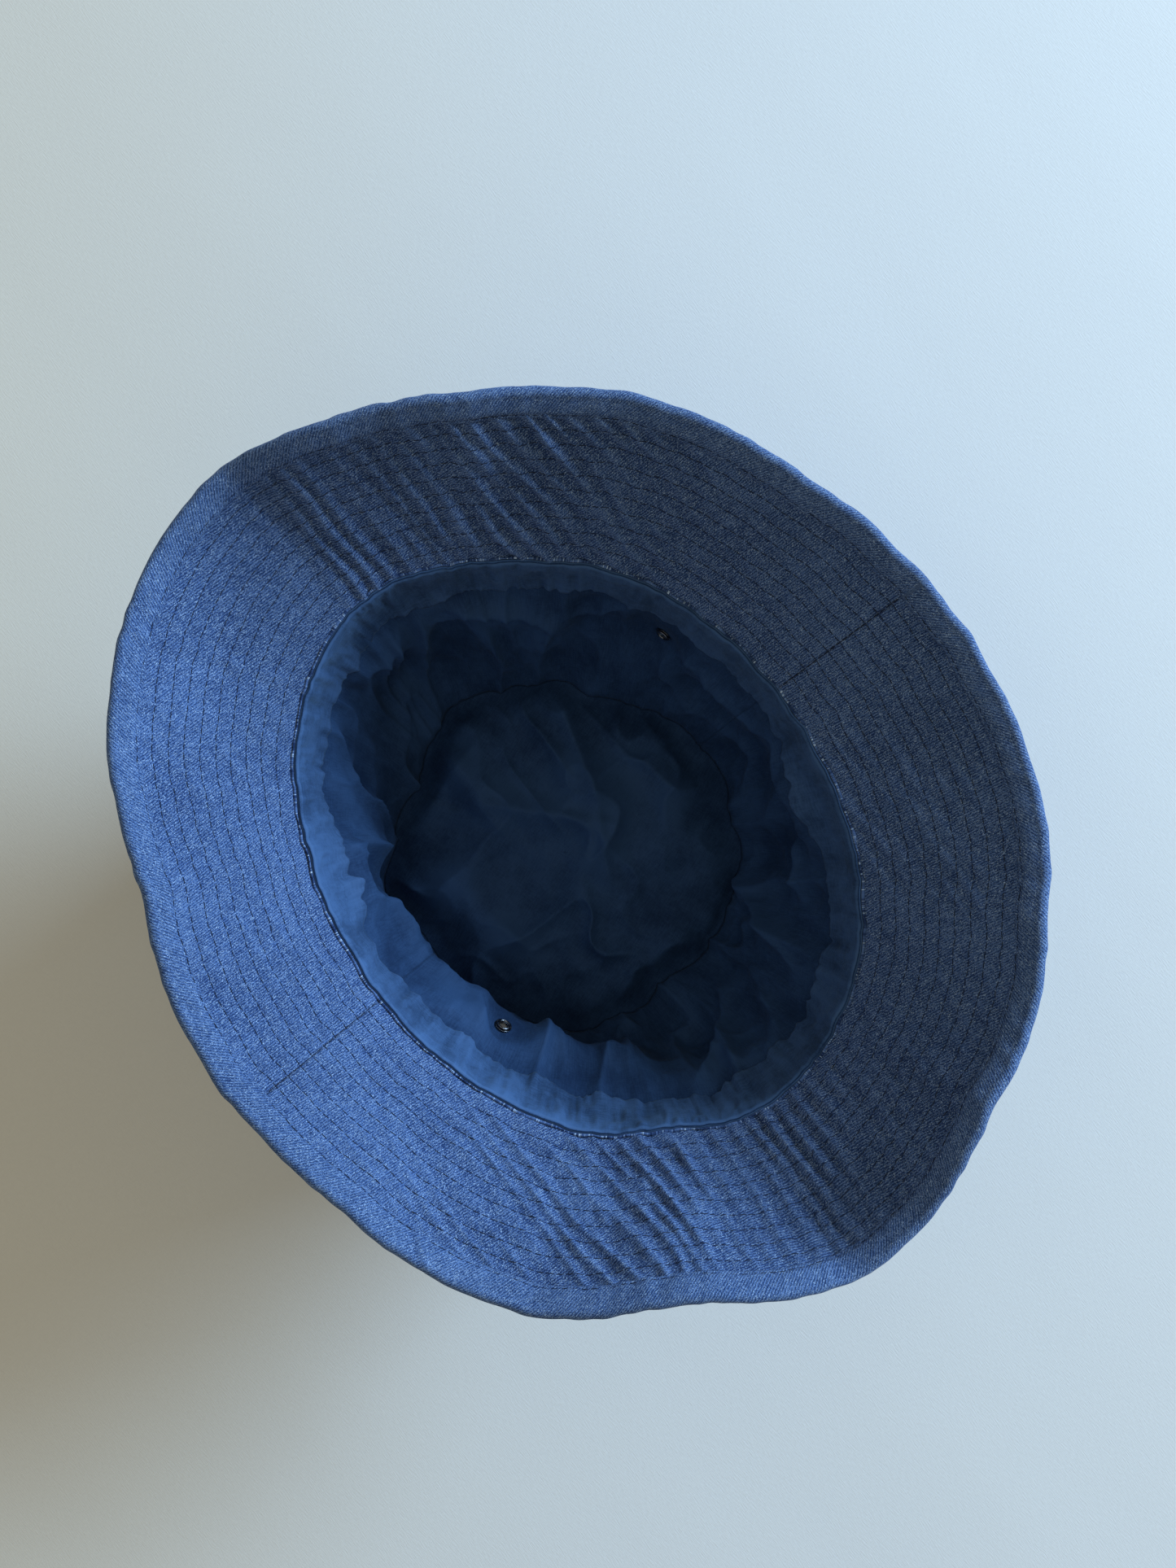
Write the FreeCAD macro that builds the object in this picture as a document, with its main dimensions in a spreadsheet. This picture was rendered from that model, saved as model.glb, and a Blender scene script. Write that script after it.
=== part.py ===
import FreeCAD, Part
import math
import os
import Sketcher

# A soft denim bucket hat, lying on its crown with the brim up.
# The origin is the centre of the crown tip's outer face. +Z points out of the head opening,
# +Y towards the front, and the two side seams lie on +X and -X.
#
# The crown, its lining and the sweatband are lofted between ovals, from the nearly round tip to the
# longer head opening. The brim and its binding have one section, drawn in the plane of a side seam
# or of the front and swept round the opening, so their plies stay parallel.
# The back half of each pair is the front half turned round by half a turn.

SIZES = (
    # name, millimetres or degrees, what it measures
    ("tip_half_length", 76, "crown tip, middle to front"),
    ("tip_half_width", 69, "crown tip, middle to side seam"),
    ("opening_half_length", 102.8, "head opening, middle to front, outside the cloth"),
    ("opening_half_width", 80.8, "head opening, middle to side seam, outside the cloth"),
    ("crown_height", 88, "crown, tip to head opening"),
    ("brim_width", 57, "brim, opening to outer edge, along the slope"),
    ("brim_rise", 42, "slope of the brim above level, in degrees"),
    ("denim", 0.8, "thickness of the outer cloth"),
    ("interlining", 0.5, "thickness of the stiffener inside the brim"),
    ("lining", 0.4, "thickness of the crown lining"),
    ("sweatband", 0.6, "thickness of the sweatband"),
    ("sweatband_width", 25, "sweatband, opening to free edge"),
    ("binding_width", 9, "how far the edge binding reaches over the brim"),
    ("binding", 0.8, "thickness of the binding strip"),
    ("ply_gap", 0.1, "clearance between plies that are sewn together"),
    ("lining_gap", 0.5, "clearance between the crown and its loose lining"),
    ("thread", 0.36, "thickness of the sewing thread, which lies pressed square"),
    ("binding_row", 1.2, "binding's inner edge to its row of stitches"),
    ("stitch_pitch", 4.9, "spacing of the brim's rows of stitches"),
    ("tip_row", 3, "crown tip seam to its row of topstitching"),
    ("eyelet_drop", 20, "sweatband's free edge to the middle of a vent eyelet"),
    ("eyelet_turn", 24, "vent eyelet from the side seam, as an angle of the oval, in degrees"),
    ("eyelet_hole", 1.6, "radius of the vent hole"),
    ("eyelet_wall", 0.3, "thickness of the eyelet's barrel"),
    ("eyelet_flange", 3.5, "radius of the eyelet's flange"),
    ("eyelet_crown", 0.5, "height of the flange"),
    ("eyelet_roll", 2.5, "radius of the rolled end"),
    ("eyelet_roll_height", 0.5, "height of the rolled end"),
    ("washer", 3.1, "radius of the eyelet's washer"),
    ("washer_height", 0.3, "thickness of the washer"),
    ("eyelet_gap", 0.1, "clearance round the barrel and under flange and washer"),
)
ROWS = 10  # rows of stitches on the brim, the binding's own row among them

doc = FreeCAD.newDocument("bucket_hat")
sheet = doc.addObject("Spreadsheet::Sheet", "sizes")
for line, (name, value, meaning) in enumerate(SIZES, 1):
    sheet.set(f"A{line}", name)
    sheet.set(f"B{line}", str(value))
    sheet.set(f"C{line}", meaning)
    sheet.setAlias(f"B{line}", name)
doc.recompute()

HALF_WIDTH = "sizes.opening_half_width"
HALF_LENGTH = "sizes.opening_half_length"
OPENING = "sizes.crown_height"
BRIM_PLIES = "(2 * sizes.denim + sizes.interlining + 2 * sizes.ply_gap)"
INTERLINING_TOP = "(sizes.denim + sizes.ply_gap)"
UPPER_TOP = "(sizes.denim + sizes.interlining + 2 * sizes.ply_gap)"
BRIM_CUT = "(sizes.brim_width - sizes.binding - sizes.ply_gap)"
BINDING_EDGE = "(sizes.brim_width - sizes.binding_width)"
BINDING_INNER = "sizes.ply_gap"
BINDING_OUTER = "(sizes.ply_gap + sizes.binding)"
LINING_FACE = "(sizes.denim + sizes.lining_gap)"
LINING_BACK = "(sizes.denim + sizes.lining_gap + sizes.lining)"
BAND_FACE = "(sizes.denim + sizes.lining_gap + sizes.lining + sizes.ply_gap)"
BAND_BACK = "(sizes.denim + sizes.lining_gap + sizes.lining + sizes.ply_gap + sizes.sweatband)"
BAND_FOOT = "(sizes.crown_height - sizes.sweatband_width)"
EYELET_UP = f"({BAND_FOOT} - sizes.eyelet_drop)"
THREAD_NEAR = "sizes.ply_gap / 2"
THREAD_FAR = "(sizes.ply_gap / 2 + sizes.thread)"


def number(expression):
    """The expression's value, from the sheet."""
    return float(sheet.evalExpression(expression))


def wall_oval(up, depth):
    """Half length and half width of the crown wall, up from the floor and depth in from outside."""
    share = f"({up}) / sizes.crown_height"
    halves = []
    for half in ("half_length", "half_width"):
        growth = f"(sizes.opening_{half} - sizes.tip_{half}) * {share}"
        halves.append(f"(sizes.tip_{half} + {growth} - ({depth}))")
    return halves


def brim_point(base, out, depth):
    """A point of the brim's section: out along the slope, and depth below its upward face."""
    across = f"{base} + ({out}) * cos(sizes.brim_rise) + ({depth}) * sin(sizes.brim_rise)"
    up = f"sizes.crown_height + ({out}) * sin(sizes.brim_rise) - ({depth}) * cos(sizes.brim_rise)"
    return across, up


def brim_root(base, depth):
    """Where the brim meets the crown wall, depth below its upward face."""
    across = f"{base} + sizes.ply_gap"
    rise = "sizes.ply_gap * tan(sizes.brim_rise)"
    up = f"sizes.crown_height + {rise} - ({depth}) / cos(sizes.brim_rise)"
    return across, up


def new_body(label):
    body = doc.addObject("PartDesign::Body", label)
    body.Label = label
    body.AllowCompound = True
    return body


def new_sketch(body, name, role):
    """An empty sketch on one of the body's own origin planes."""
    plane = next(feature for feature in body.Origin.OriginFeatures if feature.Role == role)
    sketch = body.newObject("Sketcher::SketchObject", name)
    sketch.AttachmentSupport = (plane, "")
    sketch.MapMode = "FlatFace"
    return sketch


def bind(sketch, constraint, expression):
    """Adds a dimension whose value follows the sheet."""
    index = sketch.addConstraint(constraint)
    sketch.setExpression(f"Constraints[{index}]", expression)


def polygon(sketch, corners):
    """A closed polygon. Each corner is a pair of expressions, across and up from the origin."""
    points = [FreeCAD.Vector(number(across), number(up), 0) for across, up in corners]
    for start, end in zip(points, points[1:] + points[:1]):
        sketch.addGeometry(Part.LineSegment(start, end), False)
    for side, (across, up) in enumerate(corners):
        before = (side - 1) % len(corners)
        sketch.addConstraint(Sketcher.Constraint("Coincident", before, 2, side, 1))
        bind(sketch, Sketcher.Constraint("DistanceX", -1, 1, side, 1, points[side].x), across)
        bind(sketch, Sketcher.Constraint("DistanceY", -1, 1, side, 1, points[side].y), up)


def oval(sketch, half_length, half_width, half=False):
    """An oval about the origin, its length along Y, or only the half of it with positive Y."""
    front = FreeCAD.Vector(0, number(half_length), 0)
    side = FreeCAD.Vector(-number(half_width), 0, 0)
    shape = Part.Ellipse(front, side, FreeCAD.Vector(0, 0, 0))
    if half:
        shape = Part.ArcOfEllipse(shape, -math.pi / 2, math.pi / 2)
    curve = sketch.addGeometry(shape, False)
    sketch.exposeInternalGeometry(curve)
    length = curve + 1
    width = curve + 2
    sketch.addConstraint(Sketcher.Constraint("Coincident", curve, 3, -1, 1))
    sketch.addConstraint(Sketcher.Constraint("Vertical", length))
    bind(sketch, Sketcher.Constraint("Distance", length, 2 * front.y), f"2 * {half_length}")
    bind(sketch, Sketcher.Constraint("Distance", width, -2 * side.x), f"2 * {half_width}")
    if half:
        sketch.addConstraint(Sketcher.Constraint("PointOnObject", curve, 1, -1))
        sketch.addConstraint(Sketcher.Constraint("PointOnObject", curve, 2, -1))
    return curve


def ring(sketch, up, outer_depth, inner_depth, half):
    """The wall's section by a level plane, whole or from side seam to side seam."""
    sketch.setExpression("AttachmentOffset.Base.z", up)
    outer = oval(sketch, *wall_oval(up, outer_depth), half)
    inner = oval(sketch, *wall_oval(up, inner_depth), half)
    if half:
        ends = [number(wall_oval(up, depth)[1]) for depth in (outer_depth, inner_depth)]
        for end, sign in ((1, 1), (2, -1)):
            corners = [FreeCAD.Vector(sign * across, 0, 0) for across in ends]
            seam = sketch.addGeometry(Part.LineSegment(*corners), False)
            sketch.addConstraint(Sketcher.Constraint("Coincident", seam, 1, outer, end))
            sketch.addConstraint(Sketcher.Constraint("Coincident", seam, 2, inner, end))


def sweep(body, name, section, path):
    pipe = body.newObject("PartDesign::AdditivePipe", name)
    pipe.Profile = (section, [""])
    pipe.Spine = (path, ["Edge1"])
    body.Tip = pipe


def wall(label, low, high, outer_depth, inner_depth, half=True, back=False):
    """Cloth that follows the crown wall between two heights and two depths in from its outside."""
    body = new_body(label)
    sections = []
    for name, up in (("Low", low), ("High", high)):
        section = new_sketch(body, name, "XY_Plane")
        ring(section, up, outer_depth, inner_depth, half)
        sections.append(section)
    doc.recompute()
    loft = body.newObject("PartDesign::AdditiveLoft", "Cloth")
    loft.Profile = (sections[0], [""])
    loft.Sections = [(sections[1], [""])]
    loft.Ruled = True
    body.Tip = loft
    if back:
        body.Placement.Rotation = FreeCAD.Rotation(FreeCAD.Vector(0, 0, 1), 180)
    doc.recompute()
    return body


def half_round(label, corners, back=False):
    """A brim panel from side seam to side seam. corners takes the opening's half width."""
    body = new_body(label)
    path = new_sketch(body, "Path", "XY_Plane")
    oval(path, HALF_LENGTH, HALF_WIDTH, half=True)
    section = new_sketch(body, "Section", "XZ_Plane")
    polygon(section, corners(HALF_WIDTH))
    doc.recompute()
    sweep(body, "Panel", section, path)
    if back:
        body.Placement.Rotation = FreeCAD.Rotation(FreeCAD.Vector(0, 0, 1), 180)
    return body


def all_round(label, corners):
    """A strip with one polygon section all the way round. corners takes the half length."""
    body = new_body(label)
    path = new_sketch(body, "Path", "XY_Plane")
    oval(path, HALF_LENGTH, HALF_WIDTH)
    section = new_sketch(body, "Section", "YZ_Plane")
    polygon(section, corners(HALF_LENGTH))
    doc.recompute()
    sweep(body, "Strip", section, path)
    return body


def thread_rings(label, sections, half_length=HALF_LENGTH, half_width=HALF_WIDTH):
    """Rings of thread along an oval, one for each section's corners."""
    body = new_body(label)
    path = new_sketch(body, "Path", "XY_Plane")
    oval(path, half_length, half_width)
    for row, corners in enumerate(sections, 1):
        section = new_sketch(body, f"Section{row}", "YZ_Plane")
        polygon(section, corners)
        doc.recompute()
        sweep(body, f"Row{row}", section, path)
        doc.recompute()
    return body


def seam_threads(label, strips):
    """Straight runs of thread along both side seams, one for each outline in the seams' plane."""
    body = new_body(label)
    for row, corners in enumerate(strips, 1):
        for side in ("right", "left"):
            outline = new_sketch(body, f"{side}{row}", "XZ_Plane")
            sign = "" if side == "right" else "-"
            polygon(outline, [(f"{sign}({across})", up) for across, up in corners])
            doc.recompute()
            run = body.newObject("PartDesign::Pad", f"{side}_run{row}")
            run.Profile = (outline, [""])
            run.setExpression("Length", "sizes.thread")
            run.Midplane = True
            body.Tip = run
            doc.recompute()
    return body


def disc(label, half_length, half_width, floor, thickness):
    """A flat oval of cloth with its lower face at floor."""
    body = new_body(label)
    outline = new_sketch(body, "Outline", "XY_Plane")
    outline.setExpression("AttachmentOffset.Base.z", floor)
    oval(outline, half_length, half_width)
    doc.recompute()
    cloth = body.newObject("PartDesign::Pad", "Cloth")
    cloth.Profile = (outline, [""])
    cloth.setExpression("Length", thickness)
    body.Tip = cloth
    return body


def wall_place(turn):
    """A place on the crown wall's outer face at eyelet height, with +Z pointing straight out."""
    height = number(OPENING)
    low_length, low_width = (number(half) for half in wall_oval("0", "0"))
    high_length, high_width = (number(half) for half in wall_oval(OPENING, "0"))
    length, width = (number(half) for half in wall_oval(EYELET_UP, "0"))
    across = math.cos(math.radians(turn))
    along = math.sin(math.radians(turn))
    lean = width * (high_length - low_length) * along**2
    lean += length * (high_width - low_width) * across**2
    spot = FreeCAD.Vector(width * across, length * along, number(EYELET_UP))
    outward = FreeCAD.Vector(length * across, width * along, -lean / height)
    return FreeCAD.Placement(spot, FreeCAD.Rotation(FreeCAD.Vector(0, 0, 1), outward))


def vent_hole(body, name, turn, reach):
    """Cuts a round hole through the body's panel for an eyelet's barrel."""
    volume = body.Shape.Volume
    start = FreeCAD.Placement(FreeCAD.Vector(0, 0, -number(reach)), FreeCAD.Rotation())
    hole = body.newObject("PartDesign::SubtractiveCylinder", name)
    hole.setExpression("Radius", "sizes.eyelet_hole + sizes.eyelet_wall + sizes.eyelet_gap")
    hole.setExpression("Height", f"2 * ({reach})")
    hole.Placement = wall_place(turn).multiply(start)
    body.Tip = hole
    doc.recompute()
    if body.Shape.Volume >= volume:
        raise RuntimeError(f"{name} in {body.Label} cuts nothing")


def vent_holes(body, reach):
    """Both of a half's holes, one beside each side seam."""
    vent_hole(body, "Vent_near", number("sizes.eyelet_turn"), reach)
    vent_hole(body, "Vent_far", number("180 - sizes.eyelet_turn"), reach)


def turned(label, profile, turn):
    """A ring turned about its own axis and set into the crown wall. profile lists (radius, out)."""
    body = new_body(label)
    outline = new_sketch(body, "Profile", "XZ_Plane")
    polygon(outline, profile)
    doc.recompute()
    ring = body.newObject("PartDesign::Revolution", "Ring")
    ring.Profile = (outline, [""])
    ring.ReferenceAxis = (outline, ["V_Axis"])
    ring.Angle = 360
    body.Tip = ring
    body.Placement = wall_place(turn)
    return body


def crown():
    disc("crown_tip", "sizes.tip_half_length", "sizes.tip_half_width", "0", "sizes.denim")
    for label, back in (("crown_side_front", False), ("crown_side_back", True)):
        panel = wall(label, "sizes.denim", OPENING, "0", "sizes.denim", back=back)
        vent_holes(panel, LINING_FACE)


def crown_lining():
    disc("lining_tip", *wall_oval(LINING_FACE, LINING_FACE), LINING_FACE, "sizes.lining")
    for label, back in (("lining_side_front", False), ("lining_side_back", True)):
        panel = wall(label, LINING_BACK, OPENING, LINING_FACE, LINING_BACK, back=back)
        vent_holes(panel, f"2 * {LINING_BACK}")


def sweatband():
    wall("sweatband", BAND_FOOT, OPENING, BAND_FACE, BAND_BACK, half=False)


def brim():
    """The brim's three plies in each half, the one under the brim in wear facing up here."""
    plies = (
        ("brim_under", "0", "sizes.denim"),
        ("brim_interlining", INTERLINING_TOP, f"({INTERLINING_TOP} + sizes.interlining)"),
        ("brim_upper", UPPER_TOP, BRIM_PLIES),
    )
    for name, top, bottom in plies:

        def ply(base):
            return [
                brim_root(base, top),
                brim_point(base, BRIM_CUT, top),
                brim_point(base, BRIM_CUT, bottom),
                brim_root(base, bottom),
            ]

        half_round(f"{name}_front", ply)
        half_round(f"{name}_back", ply, back=True)


def binding():
    """The strip folded over the brim's edge, with a channel that the plies fill."""
    below = f"({BRIM_PLIES} + {BINDING_INNER})"
    bottom = f"({BRIM_PLIES} + {BINDING_OUTER})"
    fold = "(sizes.brim_width - sizes.binding)"

    def strip(base):
        return [
            brim_point(base, BINDING_EDGE, f"-{BINDING_OUTER}"),
            brim_point(base, "sizes.brim_width", f"-{BINDING_OUTER}"),
            brim_point(base, "sizes.brim_width", bottom),
            brim_point(base, BINDING_EDGE, bottom),
            brim_point(base, BINDING_EDGE, below),
            brim_point(base, fold, below),
            brim_point(base, fold, f"-{BINDING_INNER}"),
            brim_point(base, BINDING_EDGE, f"-{BINDING_INNER}"),
        ]

    all_round("brim_binding", strip)


def thread_on_brim(out, near, far):
    """A thread's section, centred at out along the slope and lying between two depths."""
    inner = f"{out} - sizes.thread / 2"
    outer = f"{out} + sizes.thread / 2"
    corners = ((inner, near), (outer, near), (outer, far), (inner, far))
    return [brim_point(HALF_LENGTH, *corner) for corner in corners]


def brim_threads():
    """The rows of lockstitch: needle thread on the upward face, bobbin thread on the other."""
    first = f"({BINDING_EDGE} + sizes.binding_row)"
    rows = [(first, BINDING_OUTER)]
    for row in range(1, ROWS):
        rows.append((f"{first} - {row} * sizes.stitch_pitch", "0"))
    needle = []
    bobbin = []
    for out, cover in rows:
        needle.append(thread_on_brim(out, f"-({cover} + {THREAD_NEAR})", f"-({cover} + {THREAD_FAR})"))
        below = f"{BRIM_PLIES} + {cover}"
        bobbin.append(thread_on_brim(out, f"{below} + {THREAD_NEAR}", f"{below} + {THREAD_FAR}"))
    thread_rings("brim_needle_threads", needle)
    thread_rings("brim_bobbin_threads", bobbin)


def seams():
    """Topstitching of the crown tip and the opening, and the threads along the side seams."""
    low = "(sizes.denim + sizes.tip_row)"
    high = f"({low} + sizes.thread)"
    section = []
    for up, depth in ((low, THREAD_NEAR), (low, THREAD_FAR), (high, THREAD_FAR), (high, THREAD_NEAR)):
        section.append((wall_oval(up, f"-{depth}")[0], up))
    thread_rings("crown_tip_threads", [section], *wall_oval(low, f"-{THREAD_FAR}"))

    half_length, half_width = wall_oval(OPENING, BAND_BACK)
    low = f"{OPENING} + {THREAD_NEAR}"
    high = f"{OPENING} + {THREAD_FAR}"
    inner = f"{half_length} - sizes.thread / 2"
    outer = f"{half_length} + sizes.thread / 2"
    section = [(inner, low), (outer, low), (outer, high), (inner, high)]
    thread_rings("opening_threads", [section], half_length, half_width)

    near = f"-{THREAD_NEAR}"
    far = f"-{THREAD_FAR}"
    low = "(sizes.denim + 2 * sizes.tip_row)"
    high = f"({OPENING} - {BRIM_PLIES} - 2 * sizes.tip_row)"
    ends = ((low, near), (high, near), (high, far), (low, far))
    run = [(wall_oval(up, depth)[1], up) for up, depth in ends]
    seam_threads("crown_seam_threads", [run])

    strips = []
    step = "(sizes.thread + sizes.ply_gap)"
    first = f"({BINDING_EDGE} + sizes.binding_row)"
    for row in range(1, ROWS):
        inner = f"{first} - {row} * sizes.stitch_pitch + {step}"
        outer = f"{first} - {row - 1} * sizes.stitch_pitch - {step}"
        if row == 1:
            outer = f"{BINDING_EDGE} - sizes.ply_gap"
        strips.append([
            brim_point(HALF_WIDTH, inner, near),
            brim_point(HALF_WIDTH, outer, near),
            brim_point(HALF_WIDTH, outer, far),
            brim_point(HALF_WIDTH, inner, far),
        ])
    seam_threads("brim_seam_threads", strips)


def vents():
    """Four metal eyelets through crown and lining, each set over a washer."""
    barrel = "sizes.eyelet_hole + sizes.eyelet_wall"
    top = "sizes.eyelet_gap + sizes.eyelet_crown"
    washer_face = f"-({LINING_BACK} + sizes.eyelet_gap)"
    washer_back = f"-({LINING_BACK} + sizes.eyelet_gap + sizes.washer_height)"
    roll_face = f"-({LINING_BACK} + 2 * sizes.eyelet_gap + sizes.washer_height)"
    roll_back = f"{roll_face} - sizes.eyelet_roll_height"
    eyelet = [
        ("sizes.eyelet_hole", roll_back),
        ("sizes.eyelet_roll", roll_back),
        ("sizes.eyelet_roll", roll_face),
        (barrel, roll_face),
        (barrel, "sizes.eyelet_gap"),
        ("sizes.eyelet_flange", "sizes.eyelet_gap"),
        (f"(sizes.eyelet_flange + {barrel}) / 2", top),
        ("sizes.eyelet_hole", top),
    ]
    ring = [
        (f"{barrel} + sizes.eyelet_gap", washer_back),
        ("sizes.washer", washer_back),
        ("sizes.washer", washer_face),
        (f"{barrel} + sizes.eyelet_gap", washer_face),
    ]
    turn = number("sizes.eyelet_turn")
    corners = (
        ("front_right", turn),
        ("front_left", 180 - turn),
        ("back_left", 180 + turn),
        ("back_right", -turn),
    )
    for corner, angle in corners:
        turned(f"eyelet_{corner}", eyelet, angle)
        turned(f"washer_{corner}", ring, angle)


def export():
    """Checks every object and writes each sub-part to a file of its own."""
    doc.recompute()
    for item in doc.Objects:
        if "Invalid" in item.State or "Error" in item.State:
            raise RuntimeError(f"{item.Label} failed: {item.State}")
    os.makedirs("parts", exist_ok=True)
    for body in doc.findObjects("PartDesign::Body"):
        shape = body.Shape
        if shape.isNull() or not shape.isValid():
            raise RuntimeError(f"{body.Label} has no valid shape")
        shape.exportStep(f"parts/{body.Label}.step")
        print(f"{body.Label}: {len(shape.Solids)} solid(s), {shape.Volume:.0f} mm3")


crown()
crown_lining()
sweatband()
brim()
binding()
brim_threads()
seams()
vents()
export()
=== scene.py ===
import math
import bpy
import numpy as np
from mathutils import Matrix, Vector


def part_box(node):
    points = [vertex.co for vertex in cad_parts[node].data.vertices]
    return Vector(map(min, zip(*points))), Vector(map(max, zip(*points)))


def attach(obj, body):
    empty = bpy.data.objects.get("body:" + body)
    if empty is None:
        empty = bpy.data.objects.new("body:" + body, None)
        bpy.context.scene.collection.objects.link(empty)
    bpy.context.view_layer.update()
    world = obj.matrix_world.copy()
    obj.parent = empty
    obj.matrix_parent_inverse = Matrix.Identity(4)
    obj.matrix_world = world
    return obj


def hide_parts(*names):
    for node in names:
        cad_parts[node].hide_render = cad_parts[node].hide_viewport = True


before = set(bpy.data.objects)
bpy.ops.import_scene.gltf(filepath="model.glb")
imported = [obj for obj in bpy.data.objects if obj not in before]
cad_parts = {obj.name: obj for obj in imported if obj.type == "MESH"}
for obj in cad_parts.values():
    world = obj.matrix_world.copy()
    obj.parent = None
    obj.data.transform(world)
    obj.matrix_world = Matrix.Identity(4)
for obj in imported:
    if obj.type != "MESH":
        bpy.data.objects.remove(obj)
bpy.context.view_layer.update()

# A denim bucket hat lying on its crown. Lengths below are millimetres until a mesh is made.
# Places round the hat are angles of the oval in degrees: 0 and 180 are the side seams, 90 is the front.


def box(node):
    low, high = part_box(node)
    return np.array(low) * 1000, np.array(high) * 1000


# Taken from the CAD: half sizes of the opening and the tip, heights and thicknesses.
HALF_WIDTH, HALF_LENGTH, OPENING = box("crown_side_front")[1]
TIP_WIDTH, TIP_LENGTH, DENIM = box("crown_tip")[1]
# The slumped wall stands on a foot a little smaller than the tip.
TIP_WIDTH, TIP_LENGTH = TIP_WIDTH - 2, TIP_LENGTH - 5
LINING_TOP = box("lining_tip")[1][2]
BAND_FOOT = box("sweatband")[0][2]
# The cut cloth of the brim, from its root to its edge, as a step out and a step up.
PLY = box("brim_under_front")[1] - [0, HALF_LENGTH + 0.5, OPENING]
SLOPE = math.degrees(math.atan2(PLY[2], PLY[1]))
CUT = math.hypot(PLY[1], PLY[2])
# Thicknesses and gaps between plies.
STIFFENER = 0.5
LINING_PLY = 0.4
BAND_PLY = 0.6
GAP = 0.1
PLIES = 2 * DENIM + STIFFENER + 2 * GAP
BINDING = 0.8
BRIM = CUT + BINDING + GAP
BINDING_WIDTH = 9
# Rows of stitches, counted inwards from the one through the binding.
FIRST_ROW = BRIM - BINDING_WIDTH + 1.2
PITCH = 4.9
ROWS = 10
THREAD = 0.15
# The line along which the hat was folded flat, as a place across the hat.
CREASE = -11.0
# Millimetres of cloth round the wall to a degree, about.
WALL_DEGREE = 1.5
# Side of the table of random values behind noise().
KNOTS = 97


def noise(x, y, seed):
    """A smooth random field from -1 to 1 with a knot at every whole number."""
    knots = np.random.default_rng(seed).uniform(-1, 1, (KNOTS, KNOTS))
    i, j = np.floor(x).astype(int), np.floor(y).astype(int)
    p, q = x - i, y - j
    p, q = p * p * (3 - 2 * p), q * q * (3 - 2 * q)
    i, j, i_next, j_next = i % KNOTS, j % KNOTS, (i + 1) % KNOTS, (j + 1) % KNOTS
    low = knots[i, j] * (1 - p) + knots[i_next, j] * p
    high = knots[i, j_next] * (1 - p) + knots[i_next, j_next] * p
    return low * (1 - q) + high * q


def apart(u, at):
    """The turn from one angle to another, from -180 to 180 degrees."""
    return (u - at + 180) % 360 - 180


def from_seam(u):
    """Degrees to the nearer side seam."""
    return np.minimum(np.abs(apart(u, 0)), np.abs(apart(u, 180)))


def distances(points):
    """Distance along a line of points, at each of them."""
    return np.concatenate([[0], np.cumsum(np.linalg.norm(np.diff(points, axis=0), axis=1))])


def ring_noise(u, step, other, seed):
    """noise() along the way round in steps of so many degrees, meeting itself after a full turn."""
    u = np.mod(u, 360.0)
    late = soft(u, 315, 360)
    return noise(u / step, other, seed) * (1 - late) + noise((u - 360) / step, other, seed) * late


def bumps(u, places):
    """The sum of smooth rises round the hat, each (angle, half width in degrees, height)."""
    return sum(height * np.exp(-(apart(u, at) / width) ** 2) for at, width, height in places)


def soft(x, low, high):
    """0 below low, 1 above high, smooth between."""
    t = np.clip((x - low) / (high - low), 0, 1)
    return t * t * (3 - 2 * t)


def round_the_oval(start, end, step):
    """Angles from start to end, evenly spaced along the opening."""
    fine = np.radians(np.linspace(start, end, 2000))
    pace = np.hypot(HALF_WIDTH * np.sin(fine), HALF_LENGTH * np.cos(fine))
    way = np.concatenate([[0], np.cumsum((pace[1:] + pace[:-1]) / 2 * np.diff(fine))])
    count = int(round(way[-1] / step))
    return np.degrees(np.interp(np.linspace(0, way[-1], count + 1), way, fine))


def outward(u):
    """The oval's outward direction."""
    a = np.radians(u)
    across, along = np.cos(a) / HALF_WIDTH, np.sin(a) / HALF_LENGTH
    size = np.hypot(across, along)
    return across / size, along / size


def opening_offset(u):
    """How far the opening stands out from its plain oval."""
    drawn = bumps(u, [(62, 20, -4.0), (-116, 12, -3.6), (98, 15, 1.5), (125, 20, 1.5), (-45, 25, 1.3)])
    return drawn + 0.40 * ring_noise(u, 4.3, u * 0, 5) + 0.30 * ring_noise(u, 1.7, u * 0, 6)


def opening(u):
    """Points of the opening's edge."""
    a = np.radians(u)
    across, along = outward(u)
    out = opening_offset(u)
    return HALF_WIDTH * np.cos(a) + across * out, HALF_LENGTH * np.sin(a) + along * out


def brim_slope(u):
    """Slope of the brim above level, in degrees: it droops and stands up in turn."""
    return SLOPE + bumps(u, [
        (-20, 26, -15), (107, 17, -12), (86, 10, 3), (-168, 16, 7), (66, 15, 7), (150, 14, 10),
        (-116, 17, 13), (-95, 9, 4), (-70, 13, 11), (-45, 10, 6), (18, 16, 3),
    ])


def cloth_place(u, out):
    """Where a point of the brim lies on the flat cloth it was cut from."""
    x, y = opening(u)
    across, along = outward(u)
    return x + across * out, y + along * out


def valley(x, u, blunt):
    """1 along the folding line, falling away on both sides. blunt rounds its foot."""
    width = np.where(x > CREASE, 36.0 - bumps(u, [(-90, 30, 16.0)]), 20.0)
    return np.exp(-(np.sqrt((x - CREASE) ** 2 + blunt**2) - blunt) / width)


def fold(x, u, blunt=0.5):
    """Depth of the sharp creases left by folding the hat flat, which cross the front and the back."""
    near_end = 1 - soft(np.abs(np.abs(apart(u, 0)) - 96), 24, 60)
    return valley(x, u, blunt) * near_end


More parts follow.
